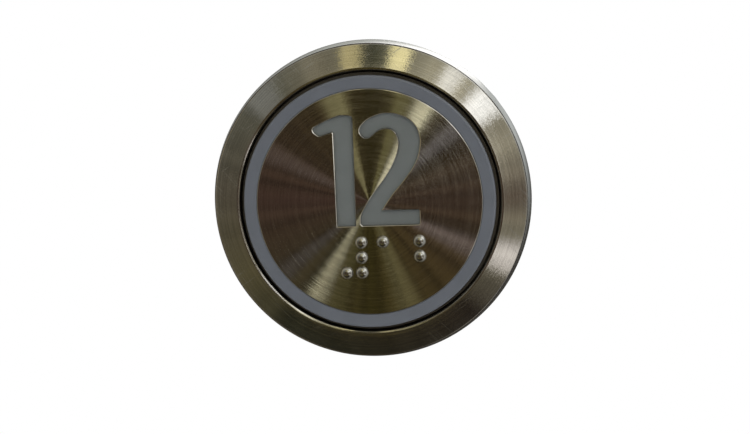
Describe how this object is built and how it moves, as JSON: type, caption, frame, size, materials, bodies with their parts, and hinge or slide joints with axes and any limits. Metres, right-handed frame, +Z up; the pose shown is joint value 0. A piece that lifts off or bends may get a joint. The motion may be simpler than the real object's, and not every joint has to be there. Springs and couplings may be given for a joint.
{
  "type": "illuminated panel push button",
  "caption": "Round stainless steel panel push button with a cut-out numeral, braille pins and a translucent halo ring, on a threaded barrel with a lock nut.",
  "frame": {"origin": "centre of the panel cut-out, on the front surface of the panel, where the bezel's flange and gasket seat", "axes": "+Z up the numeral, +Y from the user into the panel along the barrel's axis and the direction of press, +X to the user's right; the face looks along -Y"},
  "size_m": [0.053, 0.0238, 0.053],
  "materials": {
    "brushed_stainless": "spun-brushed stainless steel with a fine concentric grain",
    "polished_stainless": "polished stainless steel",
    "opal_plastic": "translucent grey opal polycarbonate, unlit",
    "white_plastic": "moulded white ABS, light texture",
    "natural_nylon": "moulded natural nylon",
    "black_plastic": "moulded black polycarbonate, fine texture",
    "red_plastic": "moulded red acetal",
    "black_rubber": "black nitrile rubber",
    "green_board": "green solder mask on glass-epoxy board",
    "lamp_body": "white lamp body with a yellow phosphor window, unlit",
    "resistor_body": "black chip resistor body",
    "nickel_plate": "satin nickel plate on turned brass",
    "zinc_plate": "bright zinc-plated steel",
    "spring_steel": "drawn spring steel, lightly oiled",
    "tinned_pin": "tin-plated brass pin"
  },
  "bodies": {
    "fixed_body": {"bezel": "brushed_stainless", "barrel": "nickel_plate", "panel_gasket": "black_rubber", "stop_ring": "black_rubber", "inner_housing": "white_plastic", "circuit_board": "green_board", "halo_lamp_1": "lamp_body", "halo_lamp_2": "lamp_body", "halo_lamp_3": "lamp_body", "halo_lamp_4": "lamp_body", "halo_lamp_5": "lamp_body", "halo_lamp_6": "lamp_body", "halo_lamp_7": "lamp_body", "halo_lamp_8": "lamp_body", "numeral_lamp_1": "lamp_body", "numeral_lamp_2": "lamp_body", "numeral_lamp_3": "lamp_body", "numeral_lamp_4": "lamp_body", "resistor_1": "resistor_body", "resistor_2": "resistor_body", "resistor_3": "resistor_body", "resistor_4": "resistor_body", "microswitch_case": "black_plastic", "header_shroud": "natural_nylon", "header_pin_1": "tinned_pin", "header_pin_2": "tinned_pin", "header_pin_3": "tinned_pin", "header_pin_4": "tinned_pin", "rear_housing": "black_plastic", "case_screw_1": "zinc_plate", "case_screw_2": "zinc_plate", "case_screw_3": "zinc_plate", "circlip": "spring_steel", "return_spring_1": "spring_steel", "return_spring_2": "spring_steel", "return_spring_3": "spring_steel"},
    "pressel": {"diffuser": "opal_plastic", "face_plate": "brushed_stainless", "braille_pin_1": "polished_stainless", "braille_pin_2": "polished_stainless", "braille_pin_3": "polished_stainless", "braille_pin_4": "polished_stainless", "braille_pin_5": "polished_stainless", "braille_pin_6": "polished_stainless", "braille_pin_7": "polished_stainless", "carrier": "white_plastic", "carrier_screw_1": "zinc_plate", "carrier_screw_2": "zinc_plate", "carrier_screw_3": "zinc_plate"},
    "switch_plunger": {"microswitch_plunger": "red_plastic"},
    "washer": {"clamp_washer": "spring_steel"},
    "nut": {"lock_nut": "zinc_plate"}
  },
  "joints": [
    {"name": "press", "type": "slide", "parent": "fixed_body", "child": "pressel", "axis": [0, 1, 0], "range_m": [0, 0.001], "stiffness_N_per_m": 900, "springref_m": -0.0014, "deforming": ["return_spring_1", "return_spring_2", "return_spring_3"]},
    {"name": "switch_travel", "type": "slide", "parent": "fixed_body", "child": "switch_plunger", "axis": [0, 1, 0], "range_m": [0, 0.001]},
    {"name": "washer_slide", "type": "slide", "parent": "fixed_body", "child": "washer", "axis": [0, 1, 0], "range_m": [0, 0.00376]},
    {"name": "nut_turn", "type": "hinge", "parent": "washer", "child": "nut", "pos_m": [0, 0, 0], "axis": [0, 1, 0], "range_deg": [0, 900]}
  ],
  "couplings": [
    {"joint": "switch_travel", "follows": "press", "ratio": 1},
    {"joint": "washer_slide", "follows": "nut_turn", "m_per_rad": 0.00023873}
  ]
}
